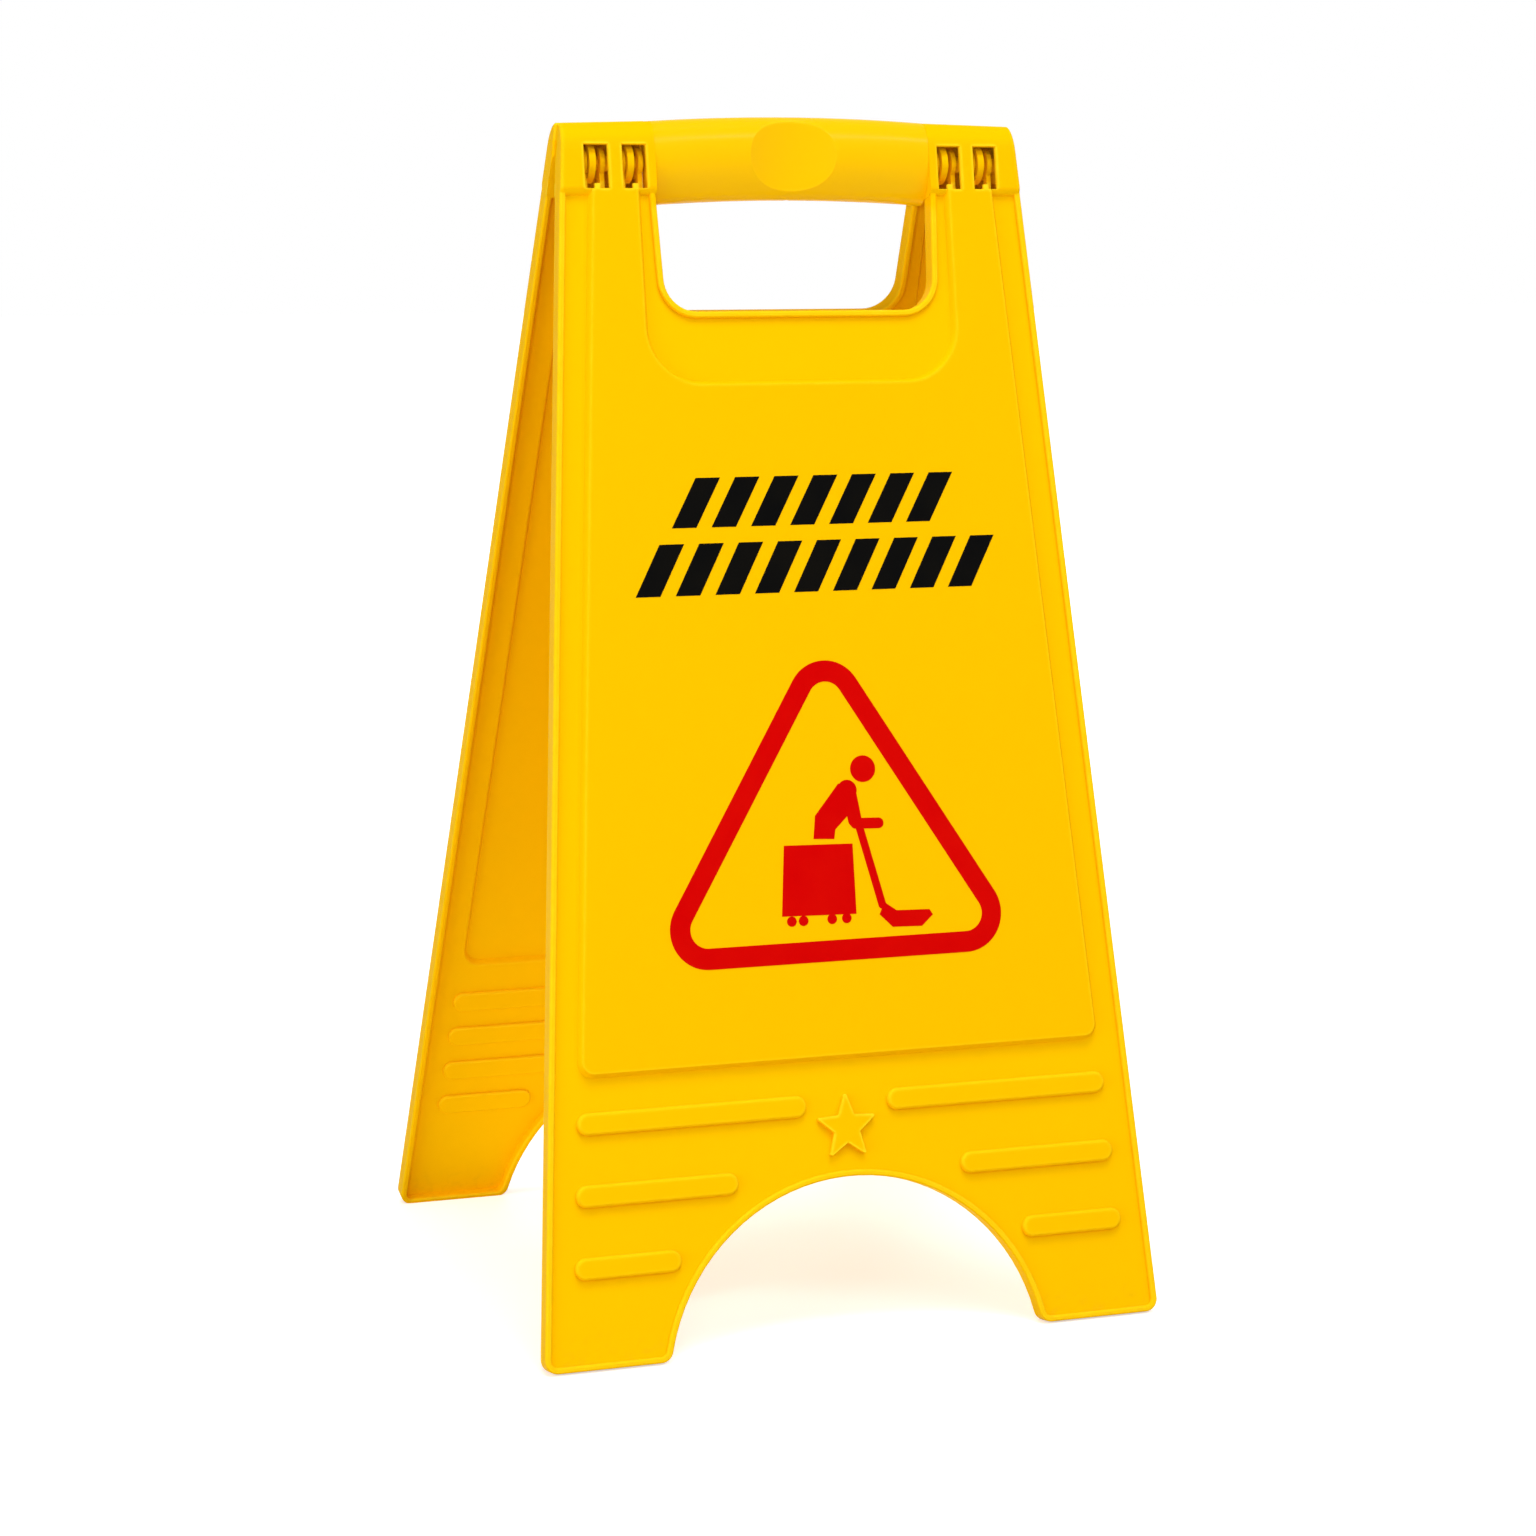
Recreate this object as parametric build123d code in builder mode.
from build123d import *
import os
from math import acos, asin, atan2, cos, degrees, radians, sin, sqrt, tan

# All sizes are in millimetres. A leaf is described by u across it, v down it from the hinge axis and
# n outwards from it. In a leaf's own plane these are x, minus y and z.

# Overall
leaf_length = 600.0  # hinge axis to foot edge, along the leaf
top_width = 246.4  # across a leaf at the hinge axis
foot_width = 332.0  # across a leaf at the foot edge
spread_angle = 26.26  # between the two leaves when the sign stands open
foot_flat = 4.0  # width of the flat on which each foot stands
rear_offset = 1.3  # rear leaf to the left of the front leaf, by the side play of the hinge

# Tray section of a leaf
fold_gap = 2.0  # between the rims of the two leaves when folded
rim_depth = 10.0
rim_width = 3.2
rim_round = 1.1
border_drop = 2.0  # border floor below the front of the rim
border_width = 11.6
skin = 2.5
field_rise = 3.4
field_from_foot = 143.5  # lower edge of the raised field, from the foot edge
field_corner = 8.0
field_slope = 30.0  # draft of the raised field's sides
field_round = 1.0
inner_field_corner = 12.0  # corners of the recess behind the field, on the field's outline
inner_field_round = 1.5

# Foot arch and feet
front_arch_radius = 102.0
rear_arch_radius = 106.0
arch_drop = 18.0  # centre of the arch below the foot edge
foot_corner = 6.5

# Hand opening and the recess round it
upright_width = 48.2  # beside the hand opening, at the hinge axis
opening_draft = 3.0  # narrowing of each side of the opening down to its lower edge
front_opening_bottom = 76.6
rear_opening_bottom = 80.5
opening_corner = 17.0
recess_margin = 7.0  # beside the opening, at the hinge axis
recess_bottom = 111.8
recess_corner = 27.0

# Raised bars: inner ends are distances from the middle of the leaf, from the top pair down
bar_height = 11.2
bar_rise = 2.6
bar_round = 1.8
outer_bars_from_foot = 121.1  # middle of the top pair, from the foot edge
outer_bar_pitch = 35.55
outer_bar_inner_ends = [21.9, 60.2, 92.3]
outer_bar_inset = 14.8  # outer end of a bar from the side of the leaf
inner_bars_from_foot = 124.0
inner_bar_pitch = 21.3
inner_bar_inner_ends = [23.0, 46.0, 69.0, 93.2]
inner_bar_inset = 15.1
inner_bar_rise = 2.0
inner_bar_round = 1.4

# Star between the upper bars
star_from_foot = 108.8
star_aside = 1.0  # to the left of the middle of the leaf
star_points = 5
star_radius = 17.4  # to the sharp tips, before they are rounded
star_waist = 7.4
star_stretch = 1.07  # height of the star against a regular one
star_tip_round = 0.9
star_round = 0.5

# Hinge barrel: flush with the raised field in front, round above
barrel_top = 21.2  # above the hinge axis, beside the grip
barrel_taper = 1.6  # fall of the top towards the ends, in degrees
barrel_bottom = 18.2  # below the hinge axis, along the leaf
barrel_wall = 2.4
barrel_bottom_round = 5.0
barrel_floor = 3.0  # wall below the hollow
barrel_end_wall = 3.2
barrel_inner_wall = 3.6
barrel_end_round = 1.4
seam_gap = 0.3  # between the two half barrels when open, where they stop each other
seam_round = 1.2

# Hinge pins
pin_radius = 4.0
pin_fit = 0.05  # running clearance of a knuckle on the pin
pin_seat_fit = 0.02  # push fit of the pin in the grip
pin_seat_depth = 15.0
pin_end_gap = 0.4  # pin to the nearer end wall of the rear leaf
pin_wall_gap = 0.5  # round the pin where it passes the inner wall of a barrel
pin_chamfer = 0.5

# Knuckles: fingers on the rear leaf, and eyes on the front leaf to each side of a finger
inner_finger_inset = 7.35  # from the inner wall of the barrel
outer_finger_inset = 15.1  # from the end wall of the barrel
finger_width = 3.4
finger_setback = 2.2  # front of a finger below the face of the barrel
eye_width = 2.4
eye_side_gap = 0.4  # eye to the nearer side of a finger or wall of the rear leaf
eye_step = 2.4  # fingers stand this far out beyond the eyes
end_eye_width = 3.0
end_eye_side_gap = 0.6  # last eye to the nearer end wall of the rear leaf
end_eye_gap = 0.4  # last eye to the barrel wall round it
web_front = 5.0  # a knuckle's web, outwards from the hinge axis
web_bite = 0.5  # sink of a web into the floor of the barrel
mouth_angle = 80.0  # open sector of a hook
front_mouth_turn = 66.9  # start of the open sector, behind straight up the leaf
rear_mouth_turn = 5.0

# Windows of the front leaf over the knuckles: levels are along the leaf from the hinge axis
window_width = 12.6
window_top = 7.3  # above the axis
window_bottom = 14.7  # below the axis
window_bevel = 0.5
tab_width = 2.8
tab_height = 2.5
tab_depth = 1.8
tab_root = 1.0  # length of a tab inside the sill

# Carry grip
grip_side_gap = 1.1  # from the side of the hand opening, at the hinge axis
grip_step = 0.15  # grip below the surface of the barrel
grip_rise = 2.5
grip_end_fit = 0.05  # grip to the front leaf, which it is keyed to
grip_run_gap = 0.3  # grip to the rear leaf, which turns, on the nearer side
grip_room = 0.5  # below the ends of the grip
grip_core_wall = 2.3  # under the scoops
grip_core_top = 14.0
grip_core_end_wall = 3.0  # between the core and the pin seats
grip_vent_radius = 2.0
scoop_radius = 54.0
scoop_depth = 5.2
scoop_tilt = 4.5
scoop_round = 0.8
key_radius = 2.5
key_reach = 3.0
key_up = 10.6  # key lug from the hinge axis, up the front leaf and outwards from it
key_out = 7.3
key_fit = 0.1

# Prints on the raised field
print_film = 0.12
triangle_below_middle = 122.85  # lower edge, below the middle of the free field
triangle_height = 152.3
triangle_width = 179.0
triangle_corner = 20.0
triangle_stroke = 10.7
stripe_gap = 35.1  # between the stripes and the triangle
stripe_row_gap = 8.0
stripe_rows = [(9, 26.0), (7, 25.0)]  # stripes and height of each row, from the lower one up
stripe_pitch = 21.0
stripe_slant = 14.0
stripe_black = 13.0

# Pictogram: a person who mops beside a trolley. Places are u and height above the triangle's lower edge.
head_place = (18.0, 96.5)
head_radius = 6.8
shoulder_place = (8.8, 86.0)
shoulder_radius = 5.3
torso = [(4.4, 89.8), (-9.2, 73.9), (-10.7, 62.3), (0.5, 61.7), (1.4, 66.5), (11.5, 76.0)]
upper_arm = [(9.9, 85.5), (12.2, 70.8)]
upper_arm_width = 7.4
forearm = [(12.5, 69.0), (24.9, 68.6)]
forearm_width = 5.5
mop_handle = [(14.6, 66.4), (24.5, 27.0)]
mop_handle_width = 4.2
mop_head_top = [(22.7, 22.2), (25.7, 28.2), (32.1, 23.7), (50.0, 23.2)]
mop_head_bottom = [(51.8, 20.4), (45.5, 14.9), (29.5, 15.4)]
trolley = [(-26.8, 59.8), (10.2, 58.9), (10.2, 23.2), (-29.9, 24.2)]
wheel_places = [(-24.8, 21.4), (-18.5, 21.4), (-3.1, 21.4), (4.8, 21.4)]
wheel_radius = 2.6

# Derived sizes
half_spread = spread_angle / 2
tilt_sin = sin(radians(half_spread))
tilt_cos = cos(radians(half_spread))
rim_back = fold_gap / 2
rim_front = rim_back + rim_depth
border_face = rim_front - border_drop
border_back = border_face - skin
field_face = border_face + field_rise
field_back = field_face - skin
field_bottom = leaf_length - field_from_foot
opening_width = top_width - 2 * upright_width
barrel_far = top_width / 2 - barrel_end_wall
hollow_front = field_face - barrel_wall
hollow_bottom = barrel_bottom - barrel_floor
finger_radius = field_face - finger_setback
eye_radius = finger_radius - eye_step
grip_length = opening_width - 2 * grip_side_gap
inner_wall_end = grip_length / 2 + grip_end_fit + barrel_inner_wall
finger_places = [inner_wall_end + inner_finger_inset, barrel_far - outer_finger_inset]
eye_offset = finger_width / 2 + rear_offset + eye_side_gap + eye_width / 2
rear_barrel_near = grip_length / 2 + grip_run_gap + rear_offset
first_eye_side = finger_places[0] - eye_offset - eye_width / 2
rear_inner_wall = first_eye_side - eye_side_gap - rear_offset - rear_barrel_near
window_height = window_top + window_bottom
window_middle = (window_top - window_bottom) / 2
triangle_bottom = (recess_bottom + field_bottom) / 2 + triangle_below_middle
triangle_top = triangle_bottom - triangle_height
foot_lift = foot_flat * tilt_sin
hinge_height = leaf_length * tilt_cos - rim_back * tilt_sin - foot_lift
far = 3 * barrel_top  # reach of the cutting shapes at the hinge
touch = 0.01  # tolerance by which edges and faces are picked

hinge_point = (0, 0, hinge_height)
front_frame = Plane(hinge_point, x_dir=(1, 0, 0), z_dir=(0, -tilt_cos, tilt_sin))
rear_hinge_point = (-rear_offset, 0, hinge_height)
rear_frame = Plane(rear_hinge_point, x_dir=(-1, 0, 0), z_dir=(0, tilt_cos, tilt_sin))


def half_width(down):
    """Half the width of a leaf at a distance down from the hinge axis."""
    return (top_width + (foot_width - top_width) * down / leaf_length) / 2


def across(frame, u):
    """Plane across the hinge at u: x points up the leaf and y outwards from it."""
    return Plane(frame.origin + frame.x_dir * u, x_dir=frame.y_dir, z_dir=frame.x_dir)


def span(side, near, reach):
    """Lower end, in u, of a stretch that starts at a distance from the middle on one side."""
    return near if side > 0 else -near - reach


def panel(top, bottom, inset):
    """Part of a leaf's face between two levels, inset from its slanted sides."""
    top_half = half_width(top) - inset
    bottom_half = half_width(bottom) - inset
    with BuildLine() as edge:
        Polyline(
            (-top_half, -top),
            (-bottom_half, -bottom),
            (bottom_half, -bottom),
            (top_half, -top),
            close=True,
        )
    make_face(edge.edges())


def at_level(shapes, axis, level):
    """Those of some shapes that lie at a level along an axis."""
    return shapes.filter_by_position(axis, level - touch, level + touch)


def leaf_outline(sketch, opening_bottom, arch_radius):
    """Outline of a leaf with its hand opening and foot arch."""
    panel(0, leaf_length, 0)
    with Locations((0, -leaf_length - arch_drop)):
        Circle(arch_radius, mode=Mode.SUBTRACT)
    top_half = opening_width / 2
    bottom_half = top_half - opening_draft
    with BuildLine() as opening:
        Polyline(
            (-top_half, 0),
            (-bottom_half, -opening_bottom),
            (bottom_half, -opening_bottom),
            (top_half, 0),
            close=True,
        )
    make_face(opening.edges(), mode=Mode.SUBTRACT)
    fillet(sketch.vertices().group_by(Axis.Y)[0], foot_corner)
    fillet(at_level(sketch.vertices(), Axis.Y, -opening_bottom), opening_corner)


def field_outline(sketch, top, corner):
    """Raised field: a panel with two strips that run up beside the hand opening to a level."""
    panel(top, field_bottom, rim_width + border_width)
    fillet(sketch.vertices().group_by(Axis.Y)[0], corner)
    RectangleRounded(opening_width + 2 * recess_margin, 2 * recess_bottom, recess_corner, mode=Mode.SUBTRACT)


def bar_pairs(first_from_foot, pitch, inner_ends, inset):
    """A left and a right bar at each level down the leaf."""
    for level, inner_end in enumerate(inner_ends):
        down = leaf_length - first_from_foot + level * pitch
        outer_end = half_width(down) - inset
        middle = (inner_end + outer_end) / 2
        with Locations((-middle, -down), (middle, -down)):
            SlotOverall(outer_end - inner_end, bar_height)


def star(sketch):
    """Plain star with round tips, one of them up the leaf."""
    middle = (-star_aside, star_from_foot - leaf_length)
    corners = []
    for step in range(2 * star_points):
        reach = star_waist if step % 2 else star_radius
        angle = radians(90 + 180 / star_points * step)
        corners.append((middle[0] + reach * cos(angle), middle[1] + reach * star_stretch * sin(angle)))
    with BuildLine() as edge:
        Polyline(*corners, close=True)
    make_face(edge.edges())
    fillet(sketch.vertices().sort_by_distance(middle)[-star_points:], star_tip_round)


def sector(inner, outer, start, end, mode=Mode.ADD):
    """Part of a ring between two angles, from straight up the leaf towards its outer face."""
    with BuildLine() as edge:
        low = CenterArc((0, 0), inner, start, end - start)
        high = CenterArc((0, 0), outer, start, end - start)
        Line(low @ 0, high @ 0)
        Line(low @ 1, high @ 1)
    make_face(edge.edges(), mode=mode)


def cut_other_side():
    """Cut off what belongs to the other leaf: behind the seam above, behind the rim below."""
    seam_x = tilt_cos * far - tilt_sin * seam_gap / 2
    seam_y = tilt_sin * far + tilt_cos * seam_gap / 2
    meet = (rim_back - tilt_cos * seam_gap / 2) / tilt_sin
    with BuildLine() as edge:
        Polyline(
            (meet * tilt_cos - tilt_sin * seam_gap / 2, rim_back),
            (seam_x, seam_y),
            (far, -far),
            (-far, -far),
            (-far, rim_back),
            close=True,
        )
    make_face(edge.edges(), mode=Mode.SUBTRACT)


def section_depth(front, top):
    """Depth from the hinge axis of an upright oval with its top, that touches a leaf's flat front."""
    return sqrt(front**2 - (top * tilt_sin) ** 2) / tilt_cos


def barrel_top_at(place):
    """Height of the barrel's top above the hinge axis, at a distance from the middle."""
    return barrel_top - (place - opening_width / 2) * tan(radians(barrel_taper))


def half_section(front, top, bottom):
    """Section at the hinge, flat in front and oval above, that runs on past the other leaf."""
    turn = degrees(acos(top * tilt_sin / front))
    with BuildLine() as edge:
        crown = EllipticalCenterArc(
            (0, 0), top, section_depth(front, top), arc_size=turn, rotation=half_spread
        )
        apex = crown @ 0
        Polyline(crown @ 1, (-bottom, front), (-bottom, -far), (apex.X, -far), apex)
    make_face(edge.edges())


def half_barrels(frame, near):
    """Solid half barrels at the top of a leaf, from the grip to the slanted sides of the leaf."""
    out = Axis(frame.origin, frame.z_dir)
    with BuildPart() as barrels:
        for place in (near, half_width(far)):
            with BuildSketch(across(frame, place)) as section:
                half_section(field_face, barrel_top_at(place), barrel_bottom)
                cut_other_side()
                fillet(section.vertices().group_by(Axis.X)[0].sort_by(Axis.Y)[-1], barrel_bottom_round)
        loft(ruled=True)
        with BuildSketch(frame):
            with BuildLine() as slant:
                Polyline(
                    (half_width(-far), far),
                    (half_width(far), -far),
                    (half_width(far) + far, -far),
                    (half_width(far) + far, far),
                    close=True,
                )
            make_face(slant.edges())
        extrude(amount=far, both=True, mode=Mode.SUBTRACT)
        end_face = barrels.faces().sort_by(Axis(frame.origin, frame.x_dir))[-1]
        fillet(end_face.edges().filter_by_position(out, border_face, far), barrel_end_round)
        fillet(barrels.edges().sort_by(Axis.Z)[-1], seam_round)
        mirror(about=across(frame, 0))
    return barrels.part


def build_leaf(frame, opening_bottom, arch_radius, barrel_near, inner_wall, knuckles, mouth_turn, is_front):
    """One leaf with its half of the hinge. A knuckle is a distance from the middle, a width and a radius."""
    out = Axis(frame.origin, frame.z_dir)
    hollow_near = barrel_near + inner_wall
    hollow_reach = barrel_far - hollow_near
    with BuildPart() as leaf:
        # Rim of the tray
        with BuildSketch(frame.offset(rim_back)) as edge:
            leaf_outline(edge, opening_bottom, arch_radius)
            offset(amount=-rim_width, mode=Mode.SUBTRACT)
        extrude(amount=rim_depth)
        rim_faces = leaf.faces().sort_by(out)
        fillet(rim_faces[-1].edges() + rim_faces[0].edges(), rim_round)
        # Border floor
        with BuildSketch(frame.offset(border_back)) as floor:
            leaf_outline(floor, opening_bottom, arch_radius)
        extrude(amount=skin)
        # Raised field, recessed behind
        with BuildSketch(frame.offset(border_face)) as field:
            field_outline(field, 0, field_corner)
        extrude(amount=field_rise, taper=field_slope)
        fillet(leaf.faces().sort_by(out)[-1].edges(), field_round)
        with BuildSketch(frame.offset(border_back)) as hollow:
            field_outline(hollow, barrel_bottom, inner_field_corner)
            offset(amount=-skin)
        extrude(amount=field_back - border_back, taper=field_slope, mode=Mode.SUBTRACT)
        fillet(at_level(leaf.edges(Select.LAST), out, border_back), inner_field_round)
        # Raised bars and star outside, raised bars inside
        with BuildSketch(frame.offset(border_face)):
            bar_pairs(outer_bars_from_foot, outer_bar_pitch, outer_bar_inner_ends, outer_bar_inset)
        extrude(amount=bar_rise)
        fillet(at_level(leaf.faces(Select.LAST), out, border_face + bar_rise).edges(), bar_round)
        with BuildSketch(frame.offset(border_face)) as figure:
            star(figure)
        extrude(amount=bar_rise)
        fillet(at_level(leaf.faces(Select.LAST), out, border_face + bar_rise).edges(), star_round)
        with BuildSketch(frame.offset(border_back)):
            bar_pairs(inner_bars_from_foot, inner_bar_pitch, inner_bar_inner_ends, inner_bar_inset)
        extrude(amount=-inner_bar_rise)
        fillet(at_level(leaf.faces(Select.LAST), out, border_back - inner_bar_rise).edges(), inner_bar_round)
        # Half barrels beside the grip, hollow between their end walls
        add(half_barrels(frame, barrel_near))
        with BuildSketch(frame):
            Rectangle(2 * barrel_near, 2 * (barrel_top + grip_room))
        extrude(amount=far, mode=Mode.SUBTRACT)
        for side in (-1, 1):
            with BuildSketch(across(frame, span(side, hollow_near, hollow_reach))):
                half_section(hollow_front, barrel_top_at(barrel_far) - barrel_wall, hollow_bottom)
            extrude(amount=hollow_reach, mode=Mode.SUBTRACT)
            with BuildSketch(across(frame, span(side, barrel_near, inner_wall))):
                Circle(pin_radius + pin_wall_gap)
                if is_front:
                    with Locations((key_up, key_out)):
                        Circle(key_radius + key_fit)
            extrude(amount=inner_wall, mode=Mode.SUBTRACT)
        # Windows over the knuckles, with a tab on each sill
        if is_front:
            window_places = [side * place for side in (-1, 1) for place in finger_places]
            with BuildSketch(frame):
                with Locations(*[(place, window_middle) for place in window_places]):
                    Rectangle(window_width, window_height)
            extrude(amount=far, mode=Mode.SUBTRACT)
            with BuildSketch(frame.offset(field_face)):
                with Locations(*[(place, window_middle) for place in window_places]):
                    Rectangle(window_width + 2 * window_bevel, window_height + 2 * window_bevel)
            extrude(amount=-window_bevel, taper=45, mode=Mode.SUBTRACT)
            tab_middle = (tab_height - tab_root) / 2 - window_bottom
            with BuildSketch(frame.offset(hollow_front)):
                with Locations(*[(place, tab_middle) for place in window_places]):
                    Rectangle(tab_width, tab_height + tab_root)
            extrude(amount=tab_depth)
        # Knuckles: a hook round the pin, on a web that stands on the floor of the barrel
        web_foot = hollow_bottom + web_bite
        for side in (-1, 1):
            for place, width, radius in knuckles:
                with BuildSketch(across(frame, span(side, place - width / 2, width))):
                    with Locations((-web_foot / 2, (rim_back + web_front) / 2)):
                        Rectangle(web_foot, web_front - rim_back)
                    Circle(radius)
                    sector(pin_radius, far, -mouth_turn, mouth_angle - mouth_turn, Mode.SUBTRACT)
                    Circle(pin_radius + pin_fit, mode=Mode.SUBTRACT)
                extrude(amount=width)
        # Flat under the feet
        split(bisect_by=Plane.XY, keep=Keep.TOP)
    return leaf


def build_pin(side):
    """Hinge pin from its seat in the grip to the end of a barrel."""
    near = grip_length / 2 - pin_seat_depth
    reach = barrel_far - rear_offset - pin_end_gap - near
    with BuildPart() as pin:
        with BuildSketch(Plane.YZ.offset(span(side, near, reach))):
            with Locations((0, hinge_height)):
                Circle(pin_radius)
        extrude(amount=reach)
        chamfer(pin.edges().filter_by(GeomType.CIRCLE), pin_chamfer)
    return pin


def grip_spine(half):
    """Arched centre line of the grip in the upright plane, to a distance each side of its middle."""
    arch = ((grip_length / 2) ** 2 + grip_rise**2) / (2 * grip_rise)
    turn = degrees(asin(half / arch))
    return CenterArc((0, hinge_height + grip_rise - arch), arch, 90 + turn, -2 * turn)


def build_triangle(frame):
    """Triangular ring with round corners."""
    half = triangle_width / 2 - triangle_corner
    top = -triangle_top - triangle_corner
    bottom = -triangle_bottom + triangle_corner
    with BuildPart() as film:
        with BuildSketch(frame.offset(field_face)):
            with BuildLine():
                Polyline((0, top), (-half, bottom), (half, bottom), close=True)
            make_face()
            offset(amount=triangle_corner)
            offset(amount=-triangle_stroke, mode=Mode.SUBTRACT)
        extrude(amount=print_film)
    return film


def over_triangle_foot(places):
    """Sketch points of places given as u and height above the triangle's lower edge."""
    return [(u, height - triangle_bottom) for u, height in places]


def build_pictogram(frame):
    """Person who mops beside a trolley."""
    limbs = [(upper_arm, upper_arm_width), (forearm, forearm_width), (mop_handle, mop_handle_width)]
    with BuildPart() as film:
        with BuildSketch(frame.offset(field_face)):
            with Locations(*over_triangle_foot([head_place])):
                Circle(head_radius)
            with Locations(*over_triangle_foot([shoulder_place])):
                Circle(shoulder_radius)
            with Locations(*over_triangle_foot(wheel_places)):
                Circle(wheel_radius)
            for outline in (torso, mop_head_top + mop_head_bottom, trolley):
                with BuildLine():
                    Polyline(*over_triangle_foot(outline), close=True)
                make_face()
            for ends, width in limbs:
                start, end = [Vector(*place) for place in over_triangle_foot(ends)]
                along = end - start
                with Locations((start + end) / 2):
                    SlotCenterToCenter(along.length, width, rotation=degrees(atan2(along.Y, along.X)))
        extrude(amount=print_film)
    return film


def build_stripes(frame):
    """Rows of slanted stripes, centred above the triangle."""
    bottom = -triangle_top + stripe_gap
    with BuildPart() as film:
        with BuildSketch(frame.offset(field_face)):
            for count, height in stripe_rows:
                length = (count - 1) * stripe_pitch + stripe_black + stripe_slant
                for step in range(count):
                    left = step * stripe_pitch - length / 2
                    with BuildLine():
                        Polyline(
                            (left, bottom),
                            (left + stripe_black, bottom),
                            (left + stripe_black + stripe_slant, bottom + height),
                            (left + stripe_slant, bottom + height),
                            close=True,
                        )
                    make_face()
                bottom += height + stripe_row_gap
        extrude(amount=print_film)
    return film


fingers = [(place, finger_width, finger_radius) for place in finger_places]
end_eye_place = barrel_far - rear_offset - end_eye_side_gap - end_eye_width / 2
eyes = [(end_eye_place, end_eye_width, hollow_front - end_eye_gap)]
for place in finger_places:
    eyes.append((place - eye_offset, eye_width, eye_radius))
    eyes.append((place + eye_offset, eye_width, eye_radius))

front_leaf = build_leaf(
    front_frame,
    front_opening_bottom,
    front_arch_radius,
    barrel_near=grip_length / 2 + grip_end_fit,
    inner_wall=barrel_inner_wall,
    knuckles=eyes,
    mouth_turn=front_mouth_turn,
    is_front=True,
)
rear_leaf = build_leaf(
    rear_frame,
    rear_opening_bottom,
    rear_arch_radius,
    barrel_near=rear_barrel_near,
    inner_wall=rear_inner_wall,
    knuckles=fingers,
    mouth_turn=rear_mouth_turn,
    is_front=False,
)

with BuildPart() as carry_grip:
    half = grip_length / 2
    middle = Vector(0, 0, hinge_height + grip_rise)
    grip_top = barrel_top - grip_step
    grip_depth = section_depth(field_face, barrel_top) - grip_step
    scoop_floor = grip_depth - scoop_depth
    # Arched oval bar, cut square at its ends
    with BuildLine(Plane.XZ):
        bow = grip_spine(half + grip_top)
    with BuildSketch(Plane(bow @ 0, x_dir=(0, 1, 0), z_dir=bow % 0)):
        Ellipse(grip_depth, grip_top)
    sweep()
    split(bisect_by=Plane.YZ.offset(half), keep=Keep.BOTTOM)
    split(bisect_by=Plane.YZ.offset(-half), keep=Keep.TOP)
    # Thumb scoop on each side
    for way in (-1, 1):
        outward = Vector(0, way * cos(radians(scoop_tilt)), sin(radians(scoop_tilt)))
        upward = Vector(0, -way * sin(radians(scoop_tilt)), cos(radians(scoop_tilt)))
        scoop_axis = middle + outward * (scoop_floor + scoop_radius)
        with BuildSketch(Plane(scoop_axis, x_dir=(1, 0, 0), z_dir=upward)):
            Circle(scoop_radius)
        extrude(amount=2 * grip_top, both=True, mode=Mode.SUBTRACT)
        fillet(carry_grip.edges(Select.LAST), scoop_round)
    # Hollow core with a vent hole underneath
    with BuildLine(Plane.XZ):
        bow = grip_spine(half - pin_seat_depth - grip_core_end_wall)
    with BuildSketch(Plane(bow @ 0, x_dir=(0, 1, 0), z_dir=bow % 0)):
        Ellipse(scoop_floor - grip_core_wall, grip_core_top)
    sweep(mode=Mode.SUBTRACT)
    with BuildSketch(Plane.XY.offset(middle.Z)):
        Circle(grip_vent_radius)
    extrude(amount=-2 * grip_top, mode=Mode.SUBTRACT)
    # Pin seats, and key lugs that hold the grip to the front leaf
    key_place = front_frame.y_dir * key_up + front_frame.z_dir * key_out
    for side in (-1, 1):
        with BuildSketch(Plane.YZ.offset(side * half)):
            with Locations((0, hinge_height)):
                Circle(pin_radius + pin_seat_fit)
        extrude(amount=-side * pin_seat_depth, mode=Mode.SUBTRACT)
        with BuildSketch(Plane.YZ.offset(side * half)):
            with Locations((key_place.Y, hinge_height + key_place.Z)):
                Circle(key_radius)
        extrude(amount=side * key_reach)

pieces = {
    "front_leaf": front_leaf,
    "rear_leaf": rear_leaf,
    "carry_grip": carry_grip,
    "left_hinge_pin": build_pin(-1),
    "right_hinge_pin": build_pin(1),
}
for leaf_name, leaf_frame in (("front", front_frame), ("rear", rear_frame)):
    pieces[f"{leaf_name}_triangle_print"] = build_triangle(leaf_frame)
    pieces[f"{leaf_name}_pictogram_print"] = build_pictogram(leaf_frame)
    pieces[f"{leaf_name}_stripe_print"] = build_stripes(leaf_frame)

os.makedirs("parts", exist_ok=True)
for name, piece in pieces.items():
    piece.part.label = name
    export_step(piece.part, f"parts/{name}.step")
